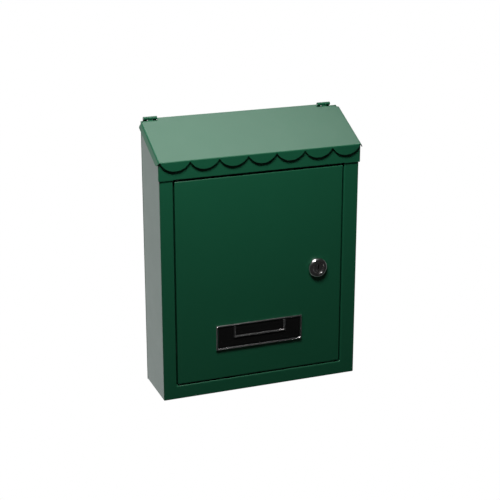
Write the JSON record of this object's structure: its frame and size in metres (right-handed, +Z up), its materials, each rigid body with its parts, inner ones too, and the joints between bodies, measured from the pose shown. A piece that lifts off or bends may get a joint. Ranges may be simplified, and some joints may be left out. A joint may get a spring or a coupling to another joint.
{
  "type": "wall mounted mailbox",
  "caption": "Wall mounted sheet-steel mailbox with a sloping scalloped lid that lifts, a side-hung front door with a cam lock, and a name plate.",
  "frame": {"origin": "on the wall face of the back panel, midway across it and 140 mm above the underside of the box", "axes": "+Z up, -Y out of the front door, +Y into the wall, +X to the right as seen from the front"},
  "size_m": [0.2168, 0.0633, 0.2809],
  "materials": {
    "green_paint": "smooth dark green semi-gloss powder coat on 0.8 mm steel sheet",
    "chrome": "polished chrome plate",
    "zinc_steel": "zinc plated steel",
    "black_plastic": "smooth black plastic"
  },
  "bodies": {
    "box": {"body_shell": "green_paint", "back_panel": "green_paint", "fascia": "green_paint", "lid_hinge_pin_left": "zinc_steel", "lid_hinge_pin_right": "zinc_steel"},
    "lid": {"lid_panel": "green_paint"},
    "door": {"door_panel": "green_paint", "door_pivot_top": "zinc_steel", "door_pivot_bottom": "zinc_steel", "lock_housing": "chrome", "lock_washer": "zinc_steel", "lock_nut": "zinc_steel", "name_frame": "chrome", "name_backing": "black_plastic", "name_retainer": "chrome", "name_nut_left": "zinc_steel", "name_nut_right": "zinc_steel"},
    "lock": {"lock_plug": "chrome", "lock_cam": "zinc_steel", "cam_washer": "zinc_steel", "cam_screw": "zinc_steel"}
  },
  "joints": [
    {"name": "lid_hinge", "type": "hinge", "parent": "box", "child": "lid", "pos_m": [0, -0.00175, 0.13913], "axis": [-1, 0, 0], "range_deg": [0, 110]},
    {"name": "door_hinge", "type": "hinge", "parent": "box", "child": "door", "pos_m": [-0.0864, -0.056, 0], "axis": [0, 0, -1], "range_deg": [0, 105]},
    {"name": "lock_turn", "type": "hinge", "parent": "door", "child": "lock", "pos_m": [0.0613, -0.059, -0.0168], "axis": [0, -1, 0], "range_deg": [0, 90]}
  ]
}
